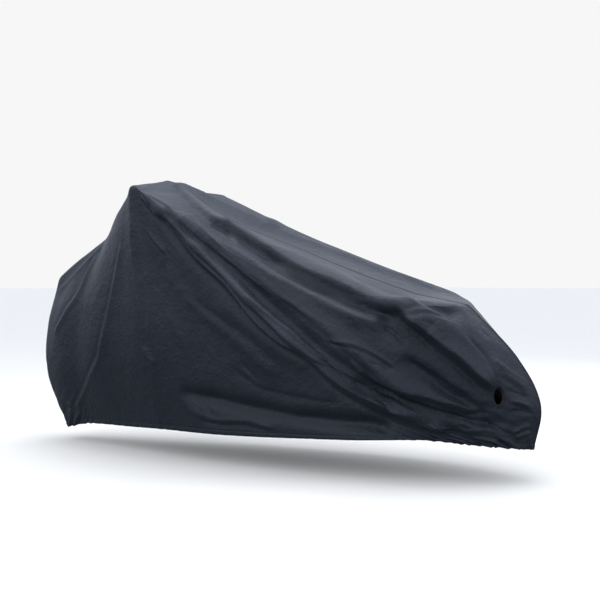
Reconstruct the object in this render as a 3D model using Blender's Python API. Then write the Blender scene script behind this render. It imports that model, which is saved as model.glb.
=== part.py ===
"""A fitted rain cover for a two-wheeled cargo bicycle, hanging over the bicycle, which isn't modelled.

Two side panels meet at a seam in the middle plane, which runs over the top and down both ends. Each
panel is a thin shell, lofted from the sections in SECTIONS, and has a lock hole by the front wheel
with a patch of cloth sewn inside it. +X is forward, +Y is the bicycle's left and +Z is up. The origin
is the point under the cloth where the middle of the handlebar carries it.
"""

import math
from collections import namedtuple

import bmesh
import bpy
from mathutils import Matrix, Vector

# Sizes in metres.
CLOTH = 0.002
HEM_CLOTH = 0.0032
HEM_DEPTH = 0.022
HEM_STEP = 0.004
GAP = 0.0003
EDGE_RADIUS = 0.024

# The handlebar's middle: ahead of the rear wheel's centre, and above the ground.
CARRIED_X = 0.405
CARRIED_Z = 1.207

# Strips along a section: over the top, round the edge and down the side.
TOP_STRIPS = 5
SIDE_STRIPS = 15
CURVE_STEPS = 12

# The lock hole: its place ahead of the rear wheel's centre and above the ground, half its width and
# height, and the patch's smaller hole, which shows as a rim. The patch is so many strips wide.
HOLE_X = 2.009
HOLE_Z = 0.336
HOLE_HALF = (0.021, 0.038)
PATCH_HOLE_HALF = (0.017, 0.034)
PATCH_CLOTH = 0.0015
PATCH_STRIPS = 4
CUT_DEPTH = 0.05
CUT_SIDES = 20

# The form, in millimetres: a row for each section, from the rear seam to the front seam. strips is the
# number of mesh strips up to the next row. seam is where the section starts in the middle plane, edge
# is the taut shoulder and hem the lower end. Two points, a third and two thirds of the way down,
# stand forward of and out from the straight line between edge and hem.
Section = namedtuple(
    "Section",
    "name strips seam_x seam_z edge_x edge_y edge_z hem_x hem_y hem_z"
    " upper_forward upper_out lower_forward lower_out",
)
SECTIONS = [
    Section("rear seam", 2, -200, 780, -222, 0, 758, -181, 0, 57, -62, 0, -76, 0),
    Section("rear quarter", 2, -170, 803, -195, 45, 772, -145, 45, 60, -70, 20, -85, 22),
    Section("rack", 2, -80, 860, -75, 66, 843, -95, 68, 68, -103, 43, -107, 47),
    Section("saddle back", 2, 15, 915, 25, 78, 898, -45, 85, 80, -87, 70, -83, 65),
    Section("saddle", 2, 95, 956, 120, 92, 950, 25, 103, 93, -43, 96, -52, 83),
    Section("bar slope", 2, 215, 1048, 283, 210, 1056, 140, 130, 101, -15, 72, -28, 78),
    Section("grip back", 2, 330, 1150, 415, 308, 1128, 330, 172, 108, 0, 52, -10, 68),
    Section("grip", 2, 388, 1207, 456, 345, 1161, 560, 228, 119, -5, 36, -10, 55),
    Section("grip fan", 2, 405, 1209, 468, 349, 1164, 860, 278, 126, -15, 22, -28, 38),
    Section("leg", 2, 425, 1205, 478, 350, 1164, 1160, 298, 139, -25, 14, -50, 14),
    Section("low swell", 2, 445, 1197, 484, 351, 1163, 1450, 295, 152, -55, 20, -60, 30),
    Section("main valley", 2, 465, 1188, 489, 351, 1162, 1740, 232, 165, -66, 44, -77, 86),
    Section("main ridge", 1, 490, 1176, 498, 352, 1158, 1880, 165, 151, -62, 60, -95, 118),
    Section("ridge groove", 2, 520, 1160, 520, 349, 1149, 1905, 158, 149, -50, 62, -75, 122),
    Section("soft ridge", 2, 600, 1107, 600, 343, 1117, 1925, 150, 148, -25, 66, -50, 118),
    Section("shoulder", 2, 800, 999, 800, 336, 1036, 1945, 140, 146, 0, 72, 0, 112),
    Section("box side", 2, 1050, 910, 1050, 331, 944, 1965, 130, 144, 20, 72, 20, 103),
    Section("box middle", 2, 1300, 818, 1300, 327, 852, 1985, 122, 143, 15, 66, 45, 72),
    Section("box end", 2, 1500, 750, 1500, 320, 778, 2005, 115, 141, 40, 33, 90, -13),
    Section("box corner", 2, 1650, 706, 1660, 300, 716, 2030, 100, 138, 50, -18, 70, -27),
    Section("lock side", 2, 1750, 688, 1735, 255, 690, 2057, 78, 135, 70, -46, 92, -37),
    Section("front quarter", 2, 1815, 676, 1800, 150, 680, 2086, 45, 130, 85, -40, 106, -25),
    Section("front seam", 0, 1843, 670, 1866, 0, 650, 2107, 0, 125, 92, 0, 105, 0),
]

# The drape, in millimetres, where a section isn't plain. slack lowers the shoulder, draw pulls the right
# one in, and the brow is a crease at a part of the way from the seam to the shoulder, lifted above the
# straight line. fold lifts a crest, or sinks a valley, that runs down the side.
Drape = namedtuple(
    "Drape", "slack_right slack_left draw brow_part brow_right brow_left fold_right fold_left"
)
PLAIN = Drape(0, 0, 0, 0.5, 0, 0, 0, 0)
DRAPES = {
    "rack": Drape(0, 0, 0, 0.5, 0, 0, -4, 3),
    "saddle back": Drape(0, 0, 0, 0.5, 0, 0, 7, -4),
    "saddle": Drape(0, 0, 0, 0.5, 0, 0, -4, 6),
    "bar slope": Drape(0, 0, 0, 0.5, -10, -12, 7, -5),
    "grip back": Drape(0, 0, 0, 0.5, -6, -14, -5, 6),
    "grip": Drape(0, 0, 0, 0.5, -2, -14, 5, -6),
    "grip fan": Drape(0, 0, 0, 0.5, -2, -14, -5, 6),
    "leg": Drape(0, 0, 0, 0.5, -3, -14, 5, -6),
    "low swell": Drape(0, 0, 0, 0.5, -5, -14, 3, 4),
    "main valley": Drape(0, 0, 0, 0.5, -6, -12, -8, -10),
    "main ridge": Drape(2, 2, 0, 0.5, -6, -10, 14, 6),
    "ridge groove": Drape(8, 2, 2, 0.4, -6, -10, 7, -6),
    "soft ridge": Drape(21, 4, 8, 0.27, 18, -8, -6, 5),
    "shoulder": Drape(70, 9, 20, 0.4, 36, -6, -5, -8),
    "box side": Drape(119, 16, 34, 0.57, 50, -4, 3, 6),
    "box middle": Drape(134, 14, 42, 0.66, 64, -2, -6, -8),
    "box end": Drape(110, 10, 30, 0.76, 46, 0, 6, 5),
    "box corner": Drape(34, 4, 8, 0.9, 5, 2, -6, -5),
    "lock side": Drape(0, 0, 0, 0.5, 0, 0, 5, 4),
}


def curve_slopes(rows):
    """Slopes for each column of the rows that never overshoot the rows' own numbers."""
    slopes = [[after - before for before, after in zip(rows[0], rows[1])]]
    for before, here, after in zip(rows, rows[1:], rows[2:]):
        rises = [(number - start, stop - number) for start, number, stop in zip(before, here, after)]
        slopes.append([2 * a * b / (a + b) if a * b > 0 else 0.0 for a, b in rises])
    return slopes + [[after - before for before, after in zip(rows[-2], rows[-1])]]


def between_rows(rows, slopes, index, t):
    """The row at t, from 0 to 1, of the way from one row to the next."""
    if t == 0:
        return rows[index]
    start, stop = 2 * t**3 - 3 * t**2 + 1, 3 * t**2 - 2 * t**3
    leave, arrive = t**3 - 2 * t**2 + t, t**3 - t**2
    columns = zip(rows[index], rows[index + 1], slopes[index], slopes[index + 1])
    return [start * a + stop * b + leave * c + arrive * d for a, b, c, d in columns]


def curve_through(points, steps):
    """A smooth line through the points, with steps to each gap."""
    ends = [points[0] * 2 - points[1]] + points + [points[-1] * 2 - points[-2]]
    line = []
    for index in range(1, len(ends) - 2):
        before, start, stop, after = ends[index - 1 : index + 3]
        for step in range(steps):
            t = step / steps
            line.append(
                0.5
                * (
                    start * 2
                    + (stop - before) * t
                    + (before * 2 - start * 5 + stop * 4 - after) * t**2
                    + (start * 3 - before - stop * 3 + after) * t**3
                )
            )
    return line + [points[-1]]


def lengths_along(line):
    total = [0.0]
    for start, stop in zip(line, line[1:]):
        total.append(total[-1] + (stop - start).length)
    return total


def point_along(line, total, length):
    for index in range(1, len(line)):
        if total[index] >= length or index == len(line) - 1:
            span = total[index] - total[index - 1]
            return line[index - 1].lerp(line[index], (length - total[index - 1]) / span if span else 0.0)
    return line[-1]


def place_in_metres(point, side):
    """A section's point in the part's own frame, half a gap clear of the middle plane."""
    x, y, z = point / 1000
    return Vector((x - CARRIED_X, side * (y + GAP / 2), z - CARRIED_Z))


def section_points(numbers, side):
    """One section's points, from the seam over the edge to the hem, on the side that -1 or 1 names."""
    row = Section("", 0, *numbers[: -len(Drape._fields)])
    drape = Drape(*numbers[-len(Drape._fields) :])
    right = side < 0
    slack = drape.slack_right if right else drape.slack_left
    seam = Vector((row.seam_x, 0.0, row.seam_z))
    edge = Vector((row.edge_x, row.edge_y, row.edge_z - slack))
    hem = Vector((row.hem_x, row.hem_y, row.hem_z))
    upper = edge.lerp(hem, 1 / 3) + Vector((row.upper_forward, row.upper_out, 0.0))
    lower = edge.lerp(hem, 2 / 3) + Vector((row.lower_forward, row.lower_out, 0.0))
    if right:
        edge.y -= drape.draw
    brow = seam.lerp(edge, drape.brow_part)
    brow.z += drape.brow_right if right else drape.brow_left

    over = [seam, brow, edge]
    reach = lengths_along(over)
    down = curve_through([edge, upper, lower, hem], CURVE_STEPS)
    total = lengths_along(down)
    fold = drape.fold_right if right else drape.fold_left
    for point, length in zip(down, total):
        point.y += fold * math.sin(math.pi * length / total[-1])

    radius = min(EDGE_RADIUS * 1000, reach[-1] / 2)
    top_end = point_along(over, reach, reach[-1] - radius)
    side_start = point_along(down, total, radius)
    points = [point_along(over, reach, (reach[-1] - radius) * k / TOP_STRIPS) for k in range(TOP_STRIPS)]
    points += [top_end, (top_end + side_start) / 4 + edge / 2]
    hem_top = total[-1] - HEM_DEPTH * 1000
    body = hem_top - HEM_STEP * 1000 - radius
    points += [point_along(down, total, radius + body * k / SIDE_STRIPS) for k in range(SIDE_STRIPS + 1)]
    points += [point_along(down, total, hem_top), hem]
    return [place_in_metres(point, side) for point in points]


def panel_grid(side):
    """A grid of points on the panel's outer face, with a row for each strip's edge from rear to front."""
    rows = [section[2:] + DRAPES.get(section.name, PLAIN) for section in SECTIONS]
    slopes = curve_slopes(rows)
    grid = []
    for index, section in enumerate(SECTIONS):
        for strip in range(section.strips):
            grid.append(section_points(between_rows(rows, slopes, index, strip / section.strips), side))
    grid.append(section_points(rows[-1], side))
    return grid


def grid_normals(grid, side):
    """Outward normals at the grid's points, kept in the middle plane along the seam."""
    last_row, last_column = len(grid) - 1, len(grid[0]) - 1
    normals = []
    for i, row in enumerate(grid):
        line = []
        for j in range(len(row)):
            along = grid[min(i + 1, last_row)][j] - grid[max(i - 1, 0)][j]
            down = grid[i][min(j + 1, last_column)] - grid[i][max(j - 1, 0)]
            normal = along.cross(down) * side
            if i in (0, last_row) or j == 0:
                normal.y = 0.0
            line.append(normal.normalized())
        normals.append(line)
    return normals


def shell(name, outer, inner, side, collection, material):
    """A closed sheet between two grids of points."""
    mesh = bmesh.new()
    rows, columns = len(outer), len(outer[0])
    faces = [[[mesh.verts.new(point) for point in row] for row in grid] for grid in (outer, inner)]

    def face(*corners):
        mesh.faces.new(corners if side > 0 else corners[::-1])

    front, back = faces
    for i in range(rows - 1):
        for j in range(columns - 1):
            for sheet, turn in ((front, 1), (back, -1)):
                low, high, next_high, next_low = (
                    sheet[i][j], sheet[i + 1][j], sheet[i + 1][j + 1], sheet[i][j + 1]
                )
                face(*(low, high, next_high)[::turn])
                face(*(low, next_high, next_low)[::turn])
    rim = [(i, 0) for i in range(rows)]
    rim += [(rows - 1, j) for j in range(1, columns)]
    rim += [(i, columns - 1) for i in range(rows - 2, -1, -1)]
    rim += [(0, j) for j in range(columns - 2, 0, -1)]
    for (i, j), (k, m) in zip(rim, rim[1:] + rim[:1]):
        face(front[i][j], back[i][j], back[k][m], front[k][m])
    bmesh.ops.recalc_face_normals(mesh, faces=mesh.faces)
    data = bpy.data.meshes.new(name)
    mesh.to_mesh(data)
    mesh.free()
    data.materials.append(material)
    data.shade_smooth()
    data.set_sharp_from_angle(angle=math.radians(40))
    obj = bpy.data.objects.new(name, data)
    collection.objects.link(obj)
    return obj


def inset(grid, normals, depths):
    """The grid moved inwards, by a depth for each column."""
    return [
        [point - normal * depth for point, normal, depth in zip(row, line, depths)]
        for row, line in zip(grid, normals)
    ]


def nearest_place(grid, x, z):
    """The row and column of the side's point nearest to a place in the side view."""

    def distance(place):
        point = grid[place[0]][place[1]]
        return math.hypot(point.x - x, point.z - z)

    return min(
        ((i, j) for i in range(len(grid)) for j in range(TOP_STRIPS, len(grid[0]))), key=distance
    )


def hole_cutter(name, centre, normal, half, collection):
    """An oval rod through the cloth, square to it."""
    mesh = bmesh.new()
    bmesh.ops.create_cone(mesh, cap_ends=True, segments=CUT_SIDES, radius1=1, radius2=1, depth=CUT_DEPTH)
    data = bpy.data.meshes.new(name)
    mesh.to_mesh(data)
    mesh.free()
    data.transform(Matrix.Diagonal((*half, 1, 1)))
    across = Vector((0, 0, 1)).cross(normal).normalized()
    up = normal.cross(across)
    obj = bpy.data.objects.new(name, data)
    obj.matrix_world = Matrix.Translation(centre) @ Matrix((across, up, normal)).transposed().to_4x4()
    obj.display_type = "WIRE"
    obj.hide_render = True
    collection.objects.link(obj)
    return obj


def cut(obj, cutter):
    modifier = obj.modifiers.new("Lock hole", "BOOLEAN")
    modifier.operation = "DIFFERENCE"
    modifier.object = cutter


def cloth_material(name, colour, roughness):
    material = bpy.data.materials.new(name)
    material.use_nodes = True
    shader = material.node_tree.nodes["Principled BSDF"]
    shader.inputs["Base Color"].default_value = (*colour, 1.0)
    shader.inputs["Roughness"].default_value = roughness
    return material


def main():
    for obj in list(bpy.data.objects):
        bpy.data.objects.remove(obj)
    cover = bpy.data.collections.new("Cargo bicycle cover")
    cutters = bpy.data.collections.new("Cutters")
    for collection in (cover, cutters):
        bpy.context.scene.collection.children.link(collection)
    woven = cloth_material("Cover cloth", (0.016, 0.019, 0.032), 0.55)
    patch_cloth = cloth_material("Patch cloth", (0.020, 0.017, 0.020), 0.7)

    for side, name in ((-1, "right"), (1, "left")):
        grid = panel_grid(side)
        normals = grid_normals(grid, side)
        columns = len(grid[0])
        depths = [CLOTH] * (columns - 2) + [HEM_CLOTH] * 2
        panel = shell(f"side_panel_{name}", grid, inset(grid, normals, depths), side, cover, woven)

        x, z = HOLE_X - CARRIED_X, HOLE_Z - CARRIED_Z
        i, j = nearest_place(grid, x, z)
        centre = Vector((x, grid[i][j].y, z))
        rows = slice(i - PATCH_STRIPS // 2, i + PATCH_STRIPS // 2 + 1)
        places = slice(j - PATCH_STRIPS // 2, j + PATCH_STRIPS // 2 + 1)
        block = [row[places] for row in grid[rows]]
        facing = [row[places] for row in normals[rows]]
        outer = inset(block, facing, [CLOTH + GAP] * (PATCH_STRIPS + 1))
        inner = inset(block, facing, [CLOTH + GAP + PATCH_CLOTH] * (PATCH_STRIPS + 1))
        patch = shell(f"lock_patch_{name}", outer, inner, side, cover, patch_cloth)
        cut(panel, hole_cutter(f"lock_hole_{name}", centre, normals[i][j], HOLE_HALF, cutters))
        cut(patch, hole_cutter(f"patch_hole_{name}", centre, normals[i][j], PATCH_HOLE_HALF, cutters))


main()
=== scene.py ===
"""A fitted rain cover for a cargo bicycle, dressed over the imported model.

The two side panels are draped again here as fine sheets on the model's own sections, and the creases,
gathers, hems, seam, stitching and lock holes are worked into them. The bicycle isn't modelled. +X is
forward, +Y is the bicycle's left and +Z is up, in metres, with the origin under the cloth where the
middle of the handlebar carries it.
"""

import math
from collections import namedtuple

import bpy
import numpy as np
from mathutils import Euler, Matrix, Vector, noise


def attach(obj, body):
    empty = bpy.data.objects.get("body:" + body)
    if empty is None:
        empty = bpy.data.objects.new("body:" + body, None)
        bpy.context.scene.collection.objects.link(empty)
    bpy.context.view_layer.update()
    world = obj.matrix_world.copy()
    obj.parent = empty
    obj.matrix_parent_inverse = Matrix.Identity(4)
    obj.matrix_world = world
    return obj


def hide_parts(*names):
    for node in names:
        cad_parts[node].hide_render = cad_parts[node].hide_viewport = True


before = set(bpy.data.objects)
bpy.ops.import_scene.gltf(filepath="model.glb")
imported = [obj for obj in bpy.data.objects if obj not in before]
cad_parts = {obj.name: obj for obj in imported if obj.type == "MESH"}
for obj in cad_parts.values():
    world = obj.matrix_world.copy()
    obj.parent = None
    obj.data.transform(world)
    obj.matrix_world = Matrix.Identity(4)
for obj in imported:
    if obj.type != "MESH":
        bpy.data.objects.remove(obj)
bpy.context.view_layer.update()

# The handlebar's middle in the tables' own axes: ahead of the rear wheel's centre, and above the ground.
CARRIED = np.array([0.405, 0.0, 1.207])
# Where the right grip holds the cloth up. Every fold narrows towards it, from this far away.
GRIP = np.array([0.06, -0.351, -0.045])
GRIP_REACH = 0.38
# The gap between the panels in the middle plane, and how far the shoulder and the brow are rounded.
SEAM_GAP = 0.0003
EDGE_RADIUS = 0.024
BROW_RADIUS = 0.055

# The hem, a band turned up inside: its depth, how far inside it is turned, and where the rows of its
# points lie above the fold.
HEM_DEPTH = 0.022
HEM_TURN = 0.0028
HEM_STITCH_ROW = 0.0225
HEM_MARKS = (0.0275, 0.0245, HEM_STITCH_ROW, 0.0205, 0.018, 0.0125, 0.007, 0.003, 0.0)
# The groove that the hem's stitches draw and how far it reaches, and how far the elastic fills the band.
GROOVE_DEPTH = 0.0011
GROOVE_REACH = 0.0019
BAND_SWELL = 0.0012
# The elastic's gathers: their length, their height in millimetres, and how far above the hem they fade.
GATHERS = ((0.062, 8.0, 0.085), (0.036, 6.6, 0.052), (0.022, 4.0, 0.03))
# Where the gathers start at the front, ease off at the tip and end at the rear, ahead of the rear wheel's
# centre, and over what length.
FRONT_GATHERS = (1.6, 0.2)
TIP_GATHERS = (2.05, 0.05)
REAR_GATHERS = (-0.02, 0.16)

# The seam's strip, from its right edge to its left: how far across and how high, in millimetres.
SEAM_STRIP = ((-6.4, -0.2), (-5.6, 0.9), (-2.8, 1.25), (0, 1.6), (2.8, 1.5), (5.2, 1.35), (6.2, -0.2))
SEAM_STEPS = 1100
# Its two rows of stitches, right and left: how far from the middle and how high.
SEAM_ROWS = ((0.0042, 0.00115), (0.004, 0.00145))

# The lock hole in each panel, in the tables' own axes, and half its width and height. The cloth within
# HOLE_NEAR of it is drawn round it. A ring of stitches runs at HOLE_RING, a share of the hole's size, and
# lies HOLE_LIFT out from the cloth, as the binding does.
HOLE = np.array([2.009, 0.0, 0.336])
HOLE_HALF = (0.021, 0.038)
HOLE_STEPS = 64
HOLE_NEAR = 0.12
HOLE_RING = 1.22
HOLE_LIFT = 0.0002
# The patch behind it is a row of rings: how far out as a share of the hole, and how deep inside in
# millimetres. The binding has half its width and half its thickness here.
PATCH_RINGS = ((2.3, 2.4), (1.9, 2.6), (1.5, 3.0), (1.2, 4.2), (1.05, 6.0), (0.9, 8.0), (0.8, 9.0))
PATCH_THICK = 0.0011
BINDING_HALF = (0.0026, 0.0017)
BINDING_SIDES = 10

# The stitches: their pitch and length in each row, and the thread's thickness.
SEAM_STITCH = (0.0036, 0.0026)
HEM_STITCH = (0.0038, 0.0027)
HOLE_STITCH = (0.0036, 0.0025)
THREAD_THICK = 0.0007

# The meshes: the spacing along a panel, its strips over the top, round the shoulder and down the side,
# and the steps that a curve is drawn in.
NEAR_MESH = (0.0112, (31, 5, 150))
FAR_MESH = (0.0145, (24, 4, 110))
COARSE_STRIPS = (5, 2, 12)
CURVE_STEPS = 40
CREASE_STEPS = 6
# Farther away than any point of the cover, in metres or as a share of the lock hole.
FAR_OFF = 9.0

# The form, in millimetres: a row for each section, from the rear seam to the front seam. closer is how
# many times more strips than usual the sheet has before the next row. seam is where the section starts
# in the middle plane, edge is the taut shoulder and hem the lower end. Two points, a third and two
# thirds of the way down, stand forward of and out from the straight line between edge and hem.
Section = namedtuple(
    "Section",
    "name closer seam_x seam_z edge_x edge_y edge_z hem_x hem_y hem_z"
    " upper_forward upper_out lower_forward lower_out",
)
SECTIONS = [Section(*row) for row in (
    ("rear seam", 1.4, -200, 780, -222, 0, 758, -181, 0, 57, -62, 0, -76, 0),
    ("rear quarter", 1.4, -170, 803, -195, 45, 772, -145, 45, 60, -70, 20, -85, 22),
    ("rack", 1.3, -80, 860, -75, 66, 843, -95, 68, 68, -103, 43, -107, 47),
    ("saddle back", 1.3, 15, 915, 25, 78, 898, -45, 85, 80, -87, 70, -83, 65),
    ("saddle", 1.2, 95, 956, 120, 92, 950, 25, 103, 93, -43, 96, -52, 83),
    ("bar slope", 1.2, 215, 1048, 283, 210, 1056, 140, 130, 101, -15, 72, -28, 78),
    ("grip back", 1.2, 330, 1150, 415, 308, 1128, 330, 172, 108, 0, 52, -10, 68),
    ("grip", 1, 388, 1207, 456, 345, 1161, 560, 228, 119, -5, 36, -10, 55),
    ("grip fan", 1, 405, 1209, 468, 349, 1164, 860, 278, 126, -15, 22, -28, 38),
    ("leg", 1, 425, 1205, 478, 350, 1164, 1160, 298, 139, -25, 14, -50, 14),
    ("low swell", 1.1, 445, 1197, 484, 351, 1163, 1450, 295, 152, -55, 20, -60, 30),
    ("main valley", 1.9, 465, 1188, 489, 351, 1162, 1740, 232, 165, -66, 44, -77, 86),
    ("main ridge", 2.2, 490, 1176, 498, 352, 1158, 1880, 165, 151, -62, 60, -95, 118),
    ("ridge groove", 1.8, 520, 1160, 520, 349, 1149, 1905, 158, 149, -50, 62, -75, 122),
    ("soft ridge", 1.3, 600, 1107, 600, 343, 1117, 1925, 150, 148, -25, 66, -50, 118),
    ("shoulder", 1.2, 800, 999, 800, 336, 1036, 1945, 140, 146, 0, 72, 0, 112),
    ("box side", 1.2, 1050, 910, 1050, 331, 944, 1965, 130, 144, 20, 72, 20, 103),
    ("box middle", 1.3, 1300, 818, 1300, 327, 852, 1985, 122, 143, 15, 66, 45, 72),
    ("box end", 1.5, 1500, 750, 1500, 320, 778, 2005, 115, 141, 40, 33, 90, -13),
    ("box corner", 1.5, 1650, 706, 1660, 300, 716, 2030, 100, 138, 50, -18, 70, -27),
    ("lock side", 1.5, 1750, 688, 1735, 255, 690, 2057, 78, 135, 70, -46, 92, -37),
    ("front quarter", 1.5, 1815, 676, 1800, 150, 680, 2086, 45, 130, 85, -40, 106, -25),
    ("front seam", 1, 1843, 670, 1866, 0, 650, 2107, 0, 125, 92, 0, 105, 0),
)]

# The drape, in millimetres, where a section isn't plain. fold lifts a crest, or sinks a valley, that runs
# down the side. The brow is a crease at a part of the way from the seam to the shoulder, lifted above
# the straight line. slack lowers the shoulder, draw pulls the right one in, and round_right is how far
# the right one's rounding reaches.
Drape = namedtuple(
    "Drape",
    "fold_right fold_left brow_right brow_left brow_part slack_right slack_left draw round_right",
    defaults=(0, 0, 0.5, 0, 0, 0, 24),
)
DRAPES = {
    "rack": Drape(-4, 3),
    "saddle back": Drape(7, -4),
    "saddle": Drape(-4, 6),
    "bar slope": Drape(7, -5, -10, -12),
    "grip back": Drape(-5, 6, -6, -14),
    "grip": Drape(5, -6, -2, -14),
    "grip fan": Drape(-5, 6, -2, -14),
    "leg": Drape(5, -6, -3, -14),
    "low swell": Drape(3, 4, -5, -14),
    "main valley": Drape(-8, -10, -6, -12),
    "main ridge": Drape(14, 6, -6, -10, 0.5, 2, 2),
    "ridge groove": Drape(7, -6, -6, -10, 0.4, 8, 2, 2),
    "soft ridge": Drape(-6, 5, 18, -8, 0.27, 21, 4, 8, 36),
    "shoulder": Drape(-5, -8, 36, -6, 0.4, 70, 9, 20, 62),
    "box side": Drape(3, 6, 50, -4, 0.57, 119, 16, 34, 78),
    "box middle": Drape(-6, -8, 64, -2, 0.66, 134, 14, 42, 72),
    "box end": Drape(6, 5, 46, 0, 0.76, 110, 10, 30, 46),
    "box corner": Drape(-6, -5, 5, 2, 0.9, 34, 4, 8),
    "lock side": Drape(5, 4),
}

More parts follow.
